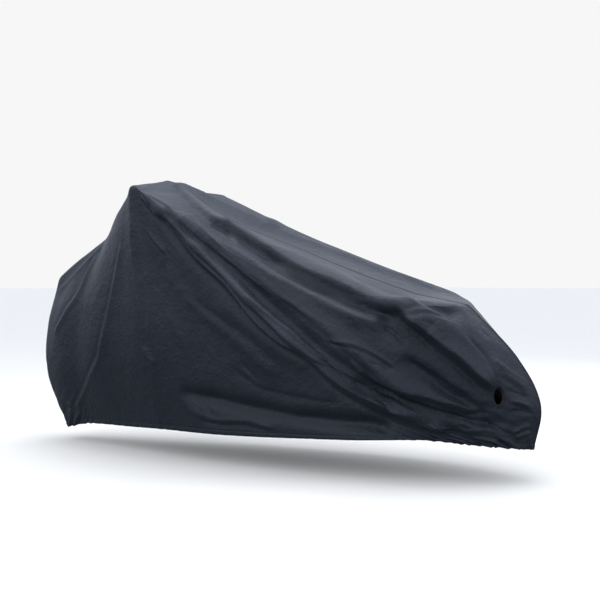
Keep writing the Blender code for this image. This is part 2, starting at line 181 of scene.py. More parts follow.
# The creases, in millimetres. lift raises a ridge and sinks a valley. above and below are how far it
# reaches up and down from its line, or forward and back where it is listed downwards. under sinks the
# cloth just below a ridge. sharp is 0 for a rolled fold and 1 for a pressed one. The line's points are
# ahead of the rear wheel's centre, out from the middle plane and above the ground.
Fold = namedtuple("Fold", "name lift above below under sharp line")
FOLDS = [Fold(*row[:6], row[6:]) for row in (
    ("main ridge", 37, 54, 22, 8, 0.8, (500, 350, 1137), (590, 355, 1066), (695, 350, 993),
     (860, 350, 839), (1010, 365, 720), (1145, 360, 590), (1320, 360, 490), (1460, 310, 365),
     (1670, 245, 265), (1845, 180, 195)),
    ("ridge root", 8, 34, 16, 0, 0.8, (535, 350, 1105), (590, 355, 1056), (640, 350, 1012)),
    ("flank hollow", -10, 20, 18, 0, 0.2, (600, 345, 1062), (686, 352, 1000), (765, 352, 933),
     (847, 355, 872), (920, 360, 812), (995, 362, 745), (1100, 360, 660)),
    ("second ridge", 8, 13, 8, 6, 0.8, (1035, 360, 725), (1065, 365, 695), (1330, 355, 510),
     (1410, 340, 450), (1470, 315, 390)),
    ("wheel valley", -26, 30, 16, 0, 0.2, (1475, 310, 380), (1565, 290, 355), (1665, 255, 320),
     (1780, 240, 280), (1880, 205, 250), (1980, 140, 230), (2035, 100, 210)),
    ("first valley", -31, 40, 24, 0, 0.3, (615, 350, 1060), (700, 355, 990), (770, 350, 945),
     (840, 340, 910), (980, 340, 800), (1125, 350, 675), (1285, 350, 560), (1450, 330, 405),
     (1550, 290, 340), (1655, 255, 292)),
    ("soft ridge", 25, 30, 44, 0, 0.2, (685, 295, 1045), (820, 320, 950), (955, 295, 872),
     (1100, 300, 790), (1260, 290, 722), (1425, 295, 660), (1555, 300, 620), (1640, 295, 595)),
    ("second valley", -25, 18, 26, 0, 0.25, (755, 215, 1020), (900, 200, 955), (1070, 225, 865),
     (1225, 255, 780), (1385, 260, 720), (1505, 280, 675), (1615, 285, 635), (1680, 275, 620)),
    ("brow crest", 25, 56, 20, 0, 0.4, (445, 15, 1195), (620, 145, 1105), (745, 185, 1030),
     (880, 180, 970), (1040, 200, 895), (1220, 225, 805), (1405, 230, 745), (1550, 265, 690),
     (1680, 285, 675), (1725, 265, 625), (1765, 245, 575)),
    ("wheel ridge", 22, 15, 12, 3, 0.6, (1530, 300, 335), (1600, 270, 310), (1720, 240, 270),
     (1800, 215, 235), (1860, 180, 205)),
    ("rack edge", 6, 20, 14, 0, 0.6, (135, 115, 925), (85, 105, 890), (-50, 105, 780), (-185, 70, 695)),
    ("rack crease", 8, 20, 16, 2, 0.4, (105, 110, 895), (40, 175, 715), (-15, 180, 640),
     (-140, 150, 490)),
    ("wheel crease", 6.5, 16, 13, 3, 0.8, (385, 305, 935), (320, 295, 675), (235, 265, 475),
     (180, 235, 380), (-55, 105, 145)),
    ("rear low ridge", 7, 14, 14, 0, 0.4, (-200, 85, 235), (-135, 105, 205), (-80, 110, 170),
     (-45, 105, 145)),
    ("rear low valley", -6, 10, 10, 0, 0.5, (-160, 85, 190), (-65, 100, 140)),
    ("plumb a", 2.4, 9, 9, 0, 0.6, (480, 350, 1080), (465, 345, 890), (525, 340, 575)),
    ("plumb b", 2.2, 9, 9, 0, 0.6, (495, 345, 1040), (545, 345, 720), (550, 335, 510)),
    ("storage a", 11, 10, 9, 2, 0.9, (540, 345, 985), (660, 350, 865)),
    ("storage b", 9, 10, 9, 2, 0.9, (505, 330, 485), (575, 320, 400)),
    ("storage c", 9, 10, 9, 2, 0.9, (775, 130, 1030), (855, 190, 980), (960, 255, 895)),
    ("storage d", 6, 10, 9, 2, 0.9, (1415, 225, 745), (1515, 275, 680)),
    ("storage e", 3.5, 8, 8, 0, 0.9, (1350, 270, 715), (1410, 280, 685)),
    ("grip step a", 3.5, 18, 8, 0, 0.7, (655, 350, 840), (665, 350, 800), (665, 345, 735)),
    ("grip step b", 3, 12, 14, 0, 0.6, (670, 345, 730), (780, 350, 725)),
    ("leg ridge", 6, 34, 24, 0, 0.2, (710, 345, 715), (985, 345, 520), (1185, 330, 375)),
    ("leg valley", -5, 18, 22, 0, 0.2, (770, 345, 695), (1070, 350, 515), (1190, 340, 420)),
    ("leg ridge b", 5, 26, 26, 0, 0.1, (895, 355, 685), (1155, 355, 520), (1320, 335, 415)),
    ("calf", 3, 24, 20, 0, 0.2, (630, 345, 655), (710, 340, 535), (740, 335, 470)),
    ("low valley", -28, 32, 28, 0, 0.1, (665, 305, 310), (740, 305, 285), (860, 310, 270),
     (985, 310, 255), (1165, 310, 235), (1260, 310, 228), (1350, 310, 220), (1430, 305, 218),
     (1550, 280, 215), (1660, 255, 195)),
    ("pedal valley", -5, 9, 20, 0, 0.5, (940, 330, 425), (1070, 325, 345), (1140, 320, 325),
     (1345, 315, 300), (1455, 300, 295)),
    ("pedal valley b", -4, 8, 12, 0, 0.5, (990, 335, 455), (1045, 330, 405), (1095, 325, 345)),
    ("pedal swell", 10, 16, 12, 3, 0.4, (700, 285, 230), (855, 290, 190), (1010, 300, 195),
     (1165, 300, 170)),
    ("pedal line", -5, 7, 8, 0, 0.7, (785, 305, 265), (860, 290, 190)),
    ("hem lap", -6, 9, 14, 0, 0.4, (740, 275, 175), (885, 290, 175), (1020, 300, 185), (1085, 300, 180),
     (1120, 300, 165)),
    ("box crease", 5, 10, 9, 3, 0.9, (1375, 340, 545), (1540, 325, 515), (1670, 300, 445)),
    ("box wrinkle", 5, 9, 8, 2, 0.7, (1490, 325, 470), (1540, 305, 405)),
    ("box wrinkle b", -5, 8, 8, 0, 0.8, (1560, 330, 460), (1610, 320, 450), (1670, 300, 430)),
    ("corner crease", -8, 9, 12, 0, 0.8, (1580, 290, 620), (1660, 285, 570), (1690, 285, 545),
     (1715, 280, 515)),
    ("soft end", -6, 8, 8, 0, 0.9, (1500, 290, 645), (1560, 285, 665)),
    ("corner edge", 5, 16, 9, 3, 0.8, (1680, 285, 665), (1730, 265, 660), (1770, 235, 660),
     (1805, 195, 645), (1840, 165, 625)),
    ("corner nick", -5, 9, 9, 0, 0.8, (1805, 190, 650), (1845, 170, 610)),
    ("corner nick b", -5, 9, 9, 0, 0.8, (1740, 255, 625), (1770, 240, 610), (1790, 230, 590)),
    ("hole crease", -9, 8, 12, 0, 0.8, (1880, 155, 575), (1960, 125, 475), (2005, 120, 365)),
    ("corner slope", -24, 34, 36, 0, 0.1, (1690, 290, 692), (1735, 262, 682), (1775, 230, 674),
     (1808, 168, 664), (1840, 115, 645), (1860, 90, 620)),
    ("hole ridge", 40, 50, 16, 6, 0.8, (1670, 285, 670), (1725, 260, 615), (1780, 235, 560),
     (1830, 210, 515), (1870, 190, 480), (1920, 165, 430), (2005, 120, 355)),
    ("hole valley", -24, 26, 24, 0, 0.25, (1680, 300, 490), (1730, 280, 450), (1790, 255, 405),
     (1840, 230, 360), (1885, 200, 330), (1935, 170, 295), (2000, 120, 260)),
    ("hole swell", 16, 26, 11, 3, 0.4, (1550, 310, 415), (1685, 300, 365), (1790, 260, 330),
     (1885, 205, 300), (1980, 140, 275)),
    ("gather fold", -7, 9, 9, 0, 0.7, (1845, 210, 245), (1880, 195, 225), (1915, 170, 200)),
    ("nose a", -8, 9, 9, 0, 0.7, (2025, 110, 360), (2055, 90, 350), (2105, 35, 320)),
    ("nose b", 8, 10, 9, 3, 0.6, (2035, 105, 320), (2075, 80, 310), (2110, 40, 290)),
    ("nose c", -8, 9, 9, 0, 0.7, (2040, 100, 275), (2075, 80, 280), (2115, 30, 265)),
    ("nose foot a", 8, 10, 9, 3, 0.6, (2045, 90, 195), (2080, 70, 215), (2110, 35, 225)),
    ("nose foot b", 8, 10, 9, 3, 0.6, (2055, 85, 175), (2105, 35, 200)),
    ("nose draw a", 6, 14, 12, 3, 0.4, (2005, 105, 430), (2050, 70, 395), (2095, 35, 350)),
    ("nose draw b", 5, 14, 12, 0, 0.4, (1955, 120, 490), (2000, 90, 445), (2100, 15, 370)),
    ("bar streak", 3, 9, 9, 1, 0.6, (645, 350, 1045), (695, 315, 1035), (750, 150, 1035)),
    ("grip tuck", -5, 10, 10, 0, 0.7, (480, 345, 1155), (515, 335, 1145), (490, 250, 1160),
     (475, 170, 1170)),
)]
# The far panel's own creases.
FAR_FOLDS = [Fold(*row[:6], row[6:]) for row in (
    ("far bar crease", 3, 10, 9, 1, 0.7, (715, 110, 1045), (770, 250, 1030)),
    ("far slope crease", 3, 10, 9, 1, 0.7, (1035, 105, 920), (1075, 150, 905)),
    ("far box crease", 3, 10, 9, 1, 0.7, (1455, 220, 775), (1520, 230, 755), (1595, 215, 730),
     (1640, 225, 715)),
)]
# The near panel's creases come again on the far one, with a share of their lift and width and a shift in
# metres. Those that lift less than FAR_LEAST millimetres don't, and nor do these.
FAR_LIFT = (0.55, 1.25)
FAR_WIDTH = (0.85, 1.3)
FAR_SHIFT = 0.045
FAR_LEAST = 3
NEAR_ONLY = ("hole crease", "grip tuck", "grip step a", "grip step b", "bar streak", "box crease")

# The cloth's unevenness: the size in metres and the height in millimetres of dents all over a panel, and
# of a crumple that comes and goes in patches. The last number of each row is its own seed.
DENTS = ((0.19, 3.4, 2), (0.085, 1.6, 3))
CRUMPLE = ((0.036, 1, 5), (0.019, 0.4, 9))
CRUMPLE_PATCH = 0.22
# How much flatter the shoulder is pulled than the rest of each panel, and how far down that reaches.
SHOULDER_CALM = {"right": 0.35, "left": 0.75}
CALM_REACH = 0.07

# The small creases of storage and wear scattered over a panel: how many, and the least and most length
# and the least and most lift in millimetres.
SCATTER = {"right": (90, 30, 95, 0.7, 1.7), "left": (120, 35, 120, 0.8, 2.4)}


# Draping a panel


def waver(place, length, seed):
    """A smooth wander between about -1 and 1 along a line."""
    starts = np.random.default_rng(seed).uniform(0, math.tau, 3)
    waves = zip((1, 0.6, 0.4), (3.83, 8.61, 14.0), starts)
    return sum(high * np.sin(place / length * quick + start) for high, quick, start in waves) / 2


def rumple(places, size, seed):
    """Smooth unevenness between about -1 and 1 at each place, with dents of about that size."""
    shift = Vector((seed * 7.31, seed * 3.77, seed * 5.13))
    flat = (places.reshape(-1, 3) / size).tolist()
    return np.array([noise.noise(Vector(place) + shift) for place in flat]).reshape(places.shape[:-1])


def uneven(places, dents, seed):
    """Dents of several sizes together, in millimetres."""
    return sum(rumple(places, size, seed + own) * height for size, height, own in dents)


def eased(x):
    x = np.clip(x, 0, 1)
    return x * x * (3 - 2 * x)


def onset(ahead, start, length):
    """0 behind the start and 1 past that length, along the cover."""
    return eased((ahead - start) / length)


def sizes_of(vectors):
    return np.linalg.norm(vectors, axis=-1)


def unit(vectors):
    return vectors / np.maximum(np.linalg.norm(vectors, axis=-1, keepdims=True), 1e-12)


def curve_slopes(rows):
    """Slopes for each column of the rows that never overshoot them."""
    before = rows[1:-1] - rows[:-2]
    after = rows[2:] - rows[1:-1]
    same_way = before * after > 0
    inner = np.where(same_way, 2 * before * after / np.where(same_way, before + after, 1), 0)
    return np.concatenate([rows[1:2] - rows[:1], inner, rows[-1:] - rows[-2:-1]])


def rows_between(rows, slopes, index, t):
    """Rows at each t, from 0 to 1, of the way from one row to the next."""
    t = t[:, None]
    start = 2 * t**3 - 3 * t**2 + 1
    leave = t**3 - 2 * t**2 + t
    arrive = t**3 - t**2
    straight = start * rows[index] + (1 - start) * rows[index + 1]
    return straight + leave * slopes[index] + arrive * slopes[index + 1]


def through(points, steps):
    """A smooth line through points, with that many steps to each gap."""
    first = 2 * points[:1] - points[1:2]
    last = 2 * points[-1:] - points[-2:-1]
    knots = np.concatenate([first, points, last])
    line = []
    for index in range(1, len(knots) - 2):
        before, start, stop, after = knots[index - 1 : index + 3]
        bend = 2 * before - 5 * start + 4 * stop - after
        swing = 3 * start - before - 3 * stop + after
        for t in np.arange(steps) / steps:
            line.append(0.5 * (2 * start + (stop - before) * t + bend * t**2 + swing * t**3))
    return np.array(line + [points[-1]])


def lengths_along(line):
    steps = sizes_of(np.diff(line, axis=0))
    return np.concatenate([[0], np.cumsum(steps)])


def laid_at(line, total, lengths):
    """Points at those lengths along a line."""
    return np.stack([np.interp(lengths, total, line[:, axis]) for axis in range(3)], axis=-1)


def bent(start, corner, stop, t):
    """The point t of the way, from 0 to 1, round a bend that cuts the corner off."""
    return (1 - t) ** 2 * start + 2 * t * (1 - t) * corner + t * t * stop


def top_points(seam, brow, edge, lengths):
    """Points from the seam over the softened brow towards the shoulder."""
    first = np.linalg.norm(brow - seam)
    second = np.linalg.norm(edge - brow)
    bend = max(min(BROW_RADIUS, 0.45 * first, 0.45 * second), 1e-6)
    start = brow + (seam - brow) * bend / first
    stop = brow + (edge - brow) * bend / second
    points = []
    for length in lengths:
        if length < first - bend:
            points.append(seam + (brow - seam) * length / first)
        elif length > first + bend:
            points.append(brow + (edge - brow) * (length - first) / second)
        else:
            points.append(bent(start, brow, stop, (length - first + bend) / (2 * bend)))
    return points


def section_points(numbers, side, strips):
    """One section's points, from the seam over the shoulder to the hem, in the cover's own place."""
    top_strips, edge_strips, side_strips = strips
    row = Section("", 0, *(numbers[: -len(Drape._fields)] / 1000))
    drape = Drape(*(numbers[-len(Drape._fields) :] / 1000))
    right = side < 0
    seam = np.array([row.seam_x, 0, row.seam_z])
    slack = drape.slack_right if right else drape.slack_left
    edge = np.array([row.edge_x, row.edge_y, row.edge_z - slack])
    hem = np.array([row.hem_x, row.hem_y, row.hem_z])
    upper = edge + (hem - edge) / 3 + np.array([row.upper_forward, row.upper_out, 0])
    lower = edge + (hem - edge) * 2 / 3 + np.array([row.lower_forward, row.lower_out, 0])
    if right:
        edge[1] -= drape.draw
    # brow_part is a share and not a length, so it goes back to what the table says.
    brow = seam + (edge - seam) * drape.brow_part * 1000
    brow[2] += drape.brow_right if right else drape.brow_left

    down = through(np.array([edge, upper, lower, hem]), CURVE_STEPS)
    total = lengths_along(down)
    down[:, 1] += (drape.fold_right if right else drape.fold_left) * np.sin(math.pi * total / total[-1])

    reach = np.linalg.norm(brow - seam) + np.linalg.norm(edge - brow)
    radius = min(drape.round_right if right else EDGE_RADIUS, reach / 2)
    points = top_points(seam, brow, edge, np.linspace(0, reach - radius, top_strips + 1))
    top_end = points[-1]
    side_start = laid_at(down, total, np.array([radius]))[0]
    for t in np.arange(1, edge_strips) / edge_strips:
        points.append(bent(top_end, edge, side_start, t))
    lengths = np.linspace(radius, total[-1] - HEM_MARKS[0], side_strips + 1)
    lengths = np.concatenate([lengths, total[-1] - np.array(HEM_MARKS[1:])])
    points = np.concatenate([np.array(points), laid_at(down, total, lengths)])
    points[:, 1] = side * (points[:, 1] + SEAM_GAP / 2)
    return points - CARRIED


def panel_points(side, spacing, strips):
    """A panel's points, rows from rear to front by columns from seam to hem."""
    rows = np.array([section[2:] + DRAPES.get(section.name, Drape(0, 0)) for section in SECTIONS], float)
    slopes = curve_slopes(rows)
    coarse = np.array([section_points(row, side, COARSE_STRIPS) for row in rows])
    reach = sizes_of(np.diff(coarse, axis=0)).max(axis=1)
    fine = []
    for index, section in enumerate(SECTIONS[:-1]):
        count = max(2, math.ceil(reach[index] * section.closer / spacing))
        fine.append(rows_between(rows, slopes, index, np.arange(count) / count))
    fine = np.concatenate(fine + [rows[-1:]])
    return np.array([section_points(row, side, strips) for row in fine])


def outward(points, side):
    """Outward directions at a panel's points, level with the middle plane along the seam."""
    along = np.gradient(points, axis=0)
    down = np.gradient(points, axis=1)
    facing = np.cross(along, down) * side
    facing[[0, -1], :, 1] = 0
    facing[:, 0, 1] = 0
    return unit(facing)


def fold_line(fold, points, side, shift):
    """A crease's line, snapped to the panel and smoothed."""
    knots = np.array(fold.line, float) / 1000 * (1, side, 1) - CARRIED + shift
    flat = points.reshape(-1, 3)
    snapped = [flat[np.argmin(((flat - knot) ** 2).sum(axis=1))] for knot in knots]
    return through(np.array(snapped), CREASE_STEPS)


def fold_lift(fold, line, points, facing, side, seed):
    """How far a crease raises each of a panel's points."""
    lift = np.zeros(points.shape[:2])
    # Past this, nothing of the crease is left.
    reach = 0.0035 * (fold.above + fold.below)
    low = line.min(axis=0) - reach
    high = line.max(axis=0) + reach
    near = ((points > low) & (points < high)).all(axis=-1)
    if not near.any():
        return lift
    at = points[near]
    out = facing[near]
    total = lengths_along(line)
    # How far each point is from the line's nearest part, how much of that is over the cloth and how much
    # out from it, on which side, and how far along the line.
    nearest = np.zeros((5, len(at)))
    nearest[0] = FAR_OFF
    for start, stop, length in zip(line, line[1:], total):
        run = stop - start
        span = np.linalg.norm(run)
        if span < 1e-6:
            continue
        t = np.clip((at - start) @ run / span**2, 0, 1)
        offset = at - start - t[:, None] * run
        distance = sizes_of(offset)
        rise = (offset * out).sum(axis=1)
        offset -= out * rise[:, None]
        apart = sizes_of(offset)
        over = (np.cross(out, run) * offset).sum(axis=1)
        closer = distance < nearest[0]
        nearest[:, closer] = np.stack([distance, apart, rise, over, length + t * span])[:, closer]
    _, apart, rise, over, along = nearest
    wide = 1 + 0.13 * waver(along, 0.4, seed)
    taper = 0.28 + 0.72 * eased(sizes_of(at - GRIP * (1, -side, 1)) / GRIP_REACH)
    wide = wide * taper
    above = fold.above / 1000 * wide
    below = fold.below / 1000 * wide
    upper = over * side < 0
    share = apart / np.where(upper, above, below)
    body = np.exp(-(share ** (2 - 0.85 * fold.sharp)))
    hollow = np.where(upper, 0, np.exp(-(((apart / below - 1.7) / 0.75) ** 2)))
    fade = min(0.07, total[-1] * 0.3)
    held = eased(along / fade) * eased((total[-1] - along) / fade)
    held = held * taper * (1 + 0.16 * waver(along, 0.33, seed + 1))
    # A crease on the top doesn't carry over to the side.
    held = held * np.exp(-((rise / 0.05) ** 4))
    lift[near] = (fold.lift * body - fold.under * hollow) * held / 1000
    return lift


def scattered_folds(points, name, seed):
    """Small creases of storage and wear, each a short line on the panel."""
    count, shortest, longest, least, most = SCATTER[name]
    random = np.random.default_rng(seed)
    rows, columns = points.shape[:2]
    made = []
    while len(made) < count:
        i = random.integers(6, rows - 6)
        j = random.integers(6, columns - 14)
        start = points[i, j]
        length = random.uniform(shortest, longest) / 1000
        down = unit(points[i, j + 4] - start)
        along = unit(points[i + 4, j] - start)
        turn = random.normal(0.25, 0.55)
        heading = unit(down * math.cos(turn) + along * math.sin(turn))
        bow = unit(along * math.cos(turn) - down * math.sin(turn)) * length * random.uniform(-0.14, 0.14)
        middle = start + heading * length / 2 + bow
        line = through(np.array([start, middle, start + heading * length]), CREASE_STEPS)
        lift = random.uniform(least, most) * random.choice([-1, 1])
        wide = random.uniform(7, 12)
        made.append((Fold("worn", lift, wide, wide, 0, random.uniform(0.3, 0.9), []), line))
    return made


def gathered(points, hem_reach, seed):
    """The elastic's gathers: small upright wrinkles that spread and fade above the hem."""
    hem = points[:, -1]
    along = lengths_along(hem)[:, None]
    ahead = hem[:, 0] + CARRIED[0]
    front = onset(ahead, *FRONT_GATHERS) * (1 - 0.6 * onset(ahead, *TIP_GATHERS))
    rear = 1 - onset(ahead, *REAR_GATHERS)
    pull = (0.12 + 0.88 * np.maximum(front, 0.8 * rear))[:, None]
    pull = pull * (1 + 0.35 * waver(along, 0.21, seed))
    drift = 0.006 * waver(hem_reach, 0.06, seed + 1) + 0.004 * waver(along, 0.05, seed + 2)
    # The front's gathers lean with the cloth's pull, and the rear's lean the other way.
    drift = drift + hem_reach * (1.3 * front - 0.9 * rear)[:, None]
    lift = np.zeros(points.shape[:2])
    for length, height, fade in GATHERS:
        swell = 0.55 + 0.45 * waver(along, length * 3.1, seed + int(length * 1000))
        wave = np.sin((along + drift) / length * math.tau + 1.6 * waver(along, length * 5, seed + 5))
        lift += height / 1000 * swell * wave * np.exp(-hem_reach / fade)
    return lift * pull


def puckered(points, centre, across, up):
    """The cloth drawn towards the lock hole's sewn edge."""
    u = (points - centre) @ across / HOLE_HALF[0]
    v = (points - centre) @ up / HOLE_HALF[1]
    ring = np.hypot(u, v)
    turn = np.arctan2(v, u)
    past = np.maximum(ring - 1, 0)
    creases = np.cos(7 * turn + 0.8) * 0.6 + np.cos(11 * turn + 2.1) * 0.4
    raised = 0.0016 * creases * np.exp(-past / 0.55) * eased(ring - 0.7)
    return (raised - 0.003 * np.exp(-past / 0.8)) * (ring < 5)


Panel = namedtuple("Panel", "name side points facing centre across up worn")


def dress_panel(name, side, mesh, folds, seed):
    """A side panel's final points, with every crease worked in."""
    spacing, strips = mesh
    points = panel_points(side, spacing, strips)
    facing = outward(points, side)
    steps = sizes_of(np.diff(points, axis=1))
    hem_reach = np.pad(np.cumsum(steps[:, ::-1], axis=1)[:, ::-1], ((0, 0), (0, 1)))
    seam_reach = np.abs(points[..., 1])
    at_seam = eased(seam_reach / 0.012)
    seam_hold = eased(seam_reach / 0.035)
    hem_hold = 1 - 0.55 * eased(1 - hem_reach / 0.06)

    patchy = eased(rumple(points, CRUMPLE_PATCH, seed + 4) * 1.4 + 0.4)
    # The shoulder is pulled straight between what carries it.
    shoulder = strips[0] + strips[1] // 2
    from_shoulder = sizes_of(points - points[:, shoulder : shoulder + 1])
    calm = 1 - SHOULDER_CALM[name] * np.exp(-((from_shoulder / CALM_REACH) ** 2))
    lift = uneven(points, DENTS, seed) + uneven(points, CRUMPLE, seed) * patchy
    lift = lift / 1000 * seam_hold * hem_hold * calm

    worn = np.zeros(points.shape[:2])
    for index, (fold, shift) in enumerate(folds):
        line = fold_line(fold, points, side, shift)
        raised = fold_lift(fold, line, points, facing, side, seed + 10 + index)
        lift += raised * hem_hold * at_seam * (calm if side > 0 else 1)
        if fold.sharp > 0.55:
            worn += np.abs(raised) * 1000 / abs(fold.lift)
    for index, (fold, line) in enumerate(scattered_folds(points, name, seed + 6)):
        raised = fold_lift(fold, line, points, facing, side, seed + 200 + index)
        lift += raised * hem_hold * seam_hold * calm
    lift += gathered(points, hem_reach, seed + 7) * at_seam
    # The stitching draws a groove at the band's top, and the elastic fills the band.
    lift -= GROOVE_DEPTH * np.exp(-(((hem_reach - HEM_DEPTH) / GROOVE_REACH) ** 2))
    lift += BAND_SWELL * np.sin(math.pi * np.clip(hem_reach / HEM_DEPTH, 0, 1))

    aim = HOLE - CARRIED
    off = ((points[..., (0, 2)] - aim[[0, 2]]) ** 2).sum(axis=-1)
    off[seam_reach < 0.03] = FAR_OFF
    nearest = np.argmin(off)
    out = facing.reshape(-1, 3)[nearest]
    centre = np.array([aim[0], points[..., 1].ravel()[nearest], aim[2]])
    across = unit(np.cross((0, 0, 1), out))
    up = np.cross(out, across)
    lift += puckered(points, centre, across, up)
    points = points + facing * lift[..., None]
    points[:, 0, 1] = side * SEAM_GAP / 2
    points[[0, -1], :, 1] = side * SEAM_GAP / 2
    return Panel(name, side, points, outward(points, side), centre, across, up, np.clip(worn, 0, 1))


# Making meshes


def in_scene(name, data):
    thing = bpy.data.objects.new(name, data)
    bpy.context.scene.collection.objects.link(thing)
    return thing


def new_piece(name, places, faces, finish):
    mesh = bpy.data.meshes.new(name)
    mesh.from_pydata(np.reshape(places, (-1, 3)).tolist(), [], faces)
    mesh.update()
    mesh.materials.append(finish)
    mesh.shade_smooth()
    piece = in_scene(name, mesh)
    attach(piece, "root")
    return piece


def grid_faces(rows, columns, side, keep=None):
    """Four-sided faces between a grid's points, facing out."""
    grid = np.arange(rows * columns).reshape(rows, columns)
    faces = np.stack([grid[:-1, :-1], grid[1:, :-1], grid[1:, 1:], grid[:-1, 1:]], axis=-1)
    faces = faces[keep] if keep is not None else faces.reshape(-1, 4)
    return faces if side > 0 else faces[:, ::-1]


def ring_faces(rings, count, closed):
    """Four-sided faces between rings of points, and from the last ring to the first where closed."""
    faces = []
    for i in range(rings if closed else rings - 1):
        k = (i + 1) % rings
        for j in range(count):
            m = (j + 1) % count
            faces.append((i * count + j, i * count + m, k * count + m, k * count + j))
    return faces


def cut_panel(panel, finish):
    """A panel's sheet, with its hem turned up inside and its lock hole open."""
    points = panel.points
    facing = panel.facing
    down = unit(points[:, -1] - points[:, -3])
    turned = [points[:, -1] + down * HEM_TURN / 2 - facing[:, -1] * HEM_TURN / 2]
    for step in range(1, len(HEM_MARKS) - 3):
        turned.append(points[:, -1 - step] - facing[:, -1 - step] * HEM_TURN)
    points = np.concatenate([points, np.stack(turned, axis=1)], axis=1)
    rows, columns = points.shape[:2]
    worn = np.concatenate([panel.worn, np.zeros((rows, len(turned)))], axis=1)

    offset = points - panel.centre
    u = offset @ panel.across
    v = offset @ panel.up
    ring = np.hypot(u / HOLE_HALF[0], v / HOLE_HALF[1])
    ring[sizes_of(offset) > HOLE_NEAR] = FAR_OFF
    inside = ring < 1
    gone = inside[:-1, :-1] & inside[1:, :-1] & inside[1:, 1:] & inside[:-1, 1:]
    grow = np.where(inside, 1 / np.maximum(ring, 0.05) - 1, 0)[..., None]
    slide = u[..., None] * panel.across + v[..., None] * panel.up
    points = points + slide * grow * inside[..., None]

    faces = grid_faces(rows, columns, panel.side, ~gone)
    used, renumbered = np.unique(faces, return_inverse=True)
    places = points.reshape(-1, 3)[used]
    piece = new_piece(f"cover_{panel.name}", places, renumbered.reshape(-1, 4).tolist(), finish)
    kept = piece.data.attributes.new("worn", "FLOAT", "POINT")
    kept.data.foreach_set("value", worn.ravel()[used].astype(np.float32))
    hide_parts(f"side_panel_{panel.name}")
    return piece


def sewn(name, paths, outs, stitch, finish):
    """Rows of stitches: each is a short bead of thread, sunk a little into the cloth."""
    pitch, length = stitch
    places = []
    faces = []
    # A bead's faces, turned to face out: round its four rings of five corners, and over its two ends.
    bead = [face[:1] + face[:0:-1] for face in ring_faces(4, 5, False)] + [range(5), range(19, 14, -1)]
    for path, out in zip(paths, outs):
        total = lengths_along(path)
        middles = (np.arange(int(total[-1] / pitch)) + 0.5) * pitch
        centres = laid_at(path, total, middles)
        fronts = laid_at(path, total, middles + 0.3 * pitch)
        backs = laid_at(path, total, middles - 0.3 * pitch)
        lifts = unit(laid_at(out, total, middles))
        along = unit(fronts - backs)
        across = unit(np.cross(along, lifts))
        for centre, run, turn, lift in zip(centres, along, across, lifts):
            start = len(places)
            for part, size in ((-0.5, 0.25), (-0.3, 0.9), (0.3, 0.9), (0.5, 0.25)):
                middle = centre + run * length * part + lift * THREAD_THICK * 0.1
                for corner in range(5):
                    angle = math.tau * corner / 5
                    spoke = turn * math.cos(angle) + lift * math.sin(angle)
                    places.append(middle + spoke * THREAD_THICK / 2 * size)
            faces += [[start + corner for corner in face] for face in bead]
    piece = new_piece(name, places, faces, finish)
    return piece


def bound(name, path, outs, finish):
    """A bound edge round a closed path, wider across the cloth than it is thick."""
    run = unit(np.roll(path, -1, axis=0) - np.roll(path, 1, axis=0))
    turn = unit(np.cross(run, outs))
    lift = np.cross(turn, run)
    angles = (math.tau * np.arange(BINDING_SIDES) / BINDING_SIDES)[:, None]
    wide = turn[:, None] * np.cos(angles) * BINDING_HALF[0]
    thick = lift[:, None] * np.sin(angles) * BINDING_HALF[1]
    faces = ring_faces(len(path), BINDING_SIDES, True)
    return new_piece(name, path[:, None] + (wide + thick), faces, finish)


def hole_edge(panel, grow, lift):
    """Points round the lock hole on the panel's own surface, with their outward directions."""
    offset = panel.points - panel.centre
    near = sizes_of(offset) < HOLE_NEAR
    u = offset[near] @ panel.across
    v = offset[near] @ panel.up
    out = np.cross(panel.across, panel.up)
    height = offset[near] @ out
    facing = panel.facing[near]
    path = []
    outs = []
    for angle in math.tau * np.arange(HOLE_STEPS) / HOLE_STEPS:
        a = HOLE_HALF[0] * grow * math.cos(angle)
        b = HOLE_HALF[1] * grow * math.sin(angle)
        weight = np.exp(-((u - a) ** 2 + (v - b) ** 2) / 0.004**2) + 1e-12
        level = (height * weight).sum() / weight.sum()
        path.append(panel.centre + panel.across * a + panel.up * b + out * (level + lift))
        outs.append((facing * weight[:, None]).sum(axis=0) / weight.sum())
    return np.array(path), unit(np.array(outs))


def lock_patch(panel, finish):
    """The patch of cloth sewn inside the lock hole, a little slack, with its own smaller hole."""
    out = np.cross(panel.across, panel.up)
    places = []
    for share, depth in PATCH_RINGS:
        edge, _ = hole_edge(panel, max(share, 1.05), 0)
        for index, point in enumerate(edge):
            angle = math.tau * index / HOLE_STEPS
            flat = panel.centre + panel.across * HOLE_HALF[0] * share * math.cos(angle)
            flat = flat + panel.up * HOLE_HALF[1] * share * math.sin(angle)
            level = (point - panel.centre) @ out
            slack = 0.9 * math.sin(3 * angle + 1.2) + 0.5 * math.sin(5 * angle + share * 4)
            slack = slack * (1 if share < 1.4 else 0.2)
            drift = (1.5 - share) * 0.006 if share < 1.2 else 0
            flat = flat + out * (level - (depth + slack) / 1000)
            places.append(flat + (panel.across * panel.side - panel.up) * drift)
    faces = ring_faces(len(PATCH_RINGS), HOLE_STEPS, False)
    piece = new_piece(f"patch_{panel.name}", places, faces, finish)
    solid = piece.modifiers.new("Cloth", "SOLIDIFY")
    solid.thickness = PATCH_THICK
    solid.offset = 0
    smooth = piece.modifiers.new("Smooth", "SUBSURF")
    smooth.levels = 1
    smooth.render_levels = 1
    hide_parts(f"lock_patch_{panel.name}")
    return piece


def rim(grid, step):
    """A grid's rim from the rear hem over the top to the front hem, or the row that many steps inside."""
    return np.concatenate([grid[step, ::-1], grid[1:-1, step], grid[-1 - step]])


